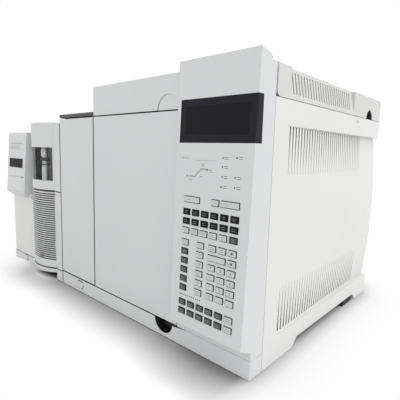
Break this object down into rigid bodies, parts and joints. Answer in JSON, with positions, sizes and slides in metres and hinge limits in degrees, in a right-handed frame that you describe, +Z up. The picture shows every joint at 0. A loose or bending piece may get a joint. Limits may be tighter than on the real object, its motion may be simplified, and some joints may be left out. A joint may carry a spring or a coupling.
{
  "type": "gas chromatograph",
  "caption": "Bench gas chromatograph with a hinged oven door, injector lid and keypad tower, joined at its left to a mass-spectrometer detector.",
  "frame": {"origin": "middle of the whole footprint, on the bench", "axes": "+X to the instrument's right along its front, +Y to its back, +Z up"},
  "size_m": [0.881, 0.5678, 0.49],
  "materials": {
    "casing_paint": "fine textured light warm-grey powder coat",
    "front_moulding": "satin light cool-grey moulding",
    "deck_paint": "dark grey paint",
    "lens_black": "polished dark window",
    "key_dark": "charcoal key caps",
    "key_grey": "mid-grey key caps",
    "key_light": "light key caps",
    "steel": "plain sheet steel",
    "oven_steel": "heat-dulled stainless",
    "aluminium": "machined",
    "lagging": "ceramic-fibre board",
    "board_green": "circuit board",
    "rubber": "black rubber",
    "seal": "braided glass seal",
    "clear": "clear window",
    "brass": "tube fittings",
    "black_plastic": "black moulding",
    "silica": "amber capillary column"
  },
  "bodies": {
    "chassis": {"base_pan": "steel", "base_strip": "front_moulding", "bulkhead": "steel", "button_switches": "black_plastic", "column_cage": "oven_steel", "column_coil": "silica", "control_tower": "front_moulding", "detector_base": "steel", "detector_column": "front_moulding", "detector_grille": "front_moulding", "detector_housing": "casing_paint", "display_lens": "lens_black", "electronics_cover": "casing_paint", "exhaust_duct": "steel", "fan_motor": "aluminium", "fan_shroud": "oven_steel", "feet": "rubber", "front_bezel": "front_moulding", "front_fascia": "front_moulding", "gas_fittings": "brass", "heater_coil": "oven_steel", "hinge_pins": "steel", "inlets": "aluminium", "keypad_board": "board_green", "left_front_panel": "casing_paint", "left_side_panel": "casing_paint", "main_board": "board_green", "oven_insulation": "lagging", "oven_liner": "oven_steel", "panel_screws": "steel", "pneumatics_cover": "casing_paint", "power_inlet": "black_plastic", "power_supply": "steel", "rear_panel": "casing_paint", "right_side_panel": "casing_paint", "top_deck": "deck_paint", "tower_display": "lens_black", "transfer_line": "aluminium", "vacuum_manifold": "aluminium", "vacuum_pump": "aluminium", "vent_motor": "black_plastic"},
    "oven_door": {"door_panel": "casing_paint", "door_inner": "oven_steel", "door_seal": "seal"},
    "injector_lid": {"injector_cover": "casing_paint"},
    "door_latch": {"latch_paddle": "black_plastic"},
    "oven_fan": {"oven_fan": "oven_steel", "fan_shaft": "steel"},
    "duct_flap": {"vent_flap": "steel"},
    "start_key": {"start_key": "key_light"},
    "stop_key": {"stop_key": "key_light"},
    "prep_key": {"prep_key": "key_light"},
    "dark_keys": {"dark_keys": "key_dark"},
    "grey_keys": {"grey_keys": "key_grey"},
    "light_keys": {"light_keys": "key_light"},
    "power_button": {"power_button": "front_moulding"},
    "detector_power_button": {"detector_power_button": "front_moulding"},
    "analyser_cover": {"window_cover": "front_moulding", "viewing_window": "clear"},
    "control_flap": {"tower_flap": "front_moulding"}
  },
  "joints": [
    {"name": "door_hinge", "type": "hinge", "parent": "chassis", "child": "oven_door", "pos_m": [0.018, -0.25114, 0.035], "axis": [0, 0, -1], "range_deg": [0, 110]},
    {"name": "lid_hinge", "type": "hinge", "parent": "chassis", "child": "injector_lid", "pos_m": [0.1405, 0.06986, 0.472], "axis": [-1, 0, 0], "range_deg": [0, 90]},
    {"name": "latch_pivot", "type": "hinge", "parent": "chassis", "child": "door_latch", "pos_m": [0.245, -0.23414, 0.024], "axis": [-1, 0, 0], "range_deg": [0, 12], "stiffness_Nm_per_rad": 0.2},
    {"name": "fan_spin", "type": "hinge", "parent": "chassis", "child": "oven_fan", "pos_m": [0.1405, -0.06014, 0.217], "axis": [0, 1, 0], "continuous": true},
    {"name": "duct_flap_turn", "type": "hinge", "parent": "chassis", "child": "duct_flap", "pos_m": [0.0755, 0.21386, 0.315], "axis": [1, 0, 0], "range_deg": [0, 85]},
    {"name": "window_cover_tip", "type": "hinge", "parent": "chassis", "child": "analyser_cover", "pos_m": [-0.239, -0.25014, 0.231], "axis": [1, 0, 0], "range_deg": [0, 10]},
    {"name": "control_flap_hinge", "type": "hinge", "parent": "chassis", "child": "control_flap", "pos_m": [-0.379, -0.27393, 0.219], "axis": [1, 0, 0], "range_deg": [0, 90]},
    {"name": "start_key_press", "type": "slide", "parent": "chassis", "child": "start_key", "axis": [0, 0.9991, -0.0418], "range_m": [0, 0.001], "stiffness_N_per_m": 800},
    {"name": "stop_key_press", "type": "slide", "parent": "chassis", "child": "stop_key", "axis": [0, 0.9991, -0.0418], "range_m": [0, 0.001], "stiffness_N_per_m": 800},
    {"name": "prep_key_press", "type": "slide", "parent": "chassis", "child": "prep_key", "axis": [0, 0.9991, -0.0418], "range_m": [0, 0.001], "stiffness_N_per_m": 800},
    {"name": "dark_keys_press", "type": "slide", "parent": "chassis", "child": "dark_keys", "axis": [0, 0.9991, -0.0418], "range_m": [0, 0.001], "stiffness_N_per_m": 800},
    {"name": "grey_keys_press", "type": "slide", "parent": "chassis", "child": "grey_keys", "axis": [0, 0.9991, -0.0418], "range_m": [0, 0.001], "stiffness_N_per_m": 800},
    {"name": "light_keys_press", "type": "slide", "parent": "chassis", "child": "light_keys", "axis": [0, 0.9991, -0.0418], "range_m": [0, 0.001], "stiffness_N_per_m": 800},
    {"name": "power_button_press", "type": "slide", "parent": "chassis", "child": "power_button", "axis": [0, 1, 0], "range_m": [0, 0.002], "stiffness_N_per_m": 600},
    {"name": "detector_power_button_press", "type": "slide", "parent": "chassis", "child": "detector_power_button", "axis": [0, 1, 0], "range_m": [0, 0.002], "stiffness_N_per_m": 600}
  ]
}
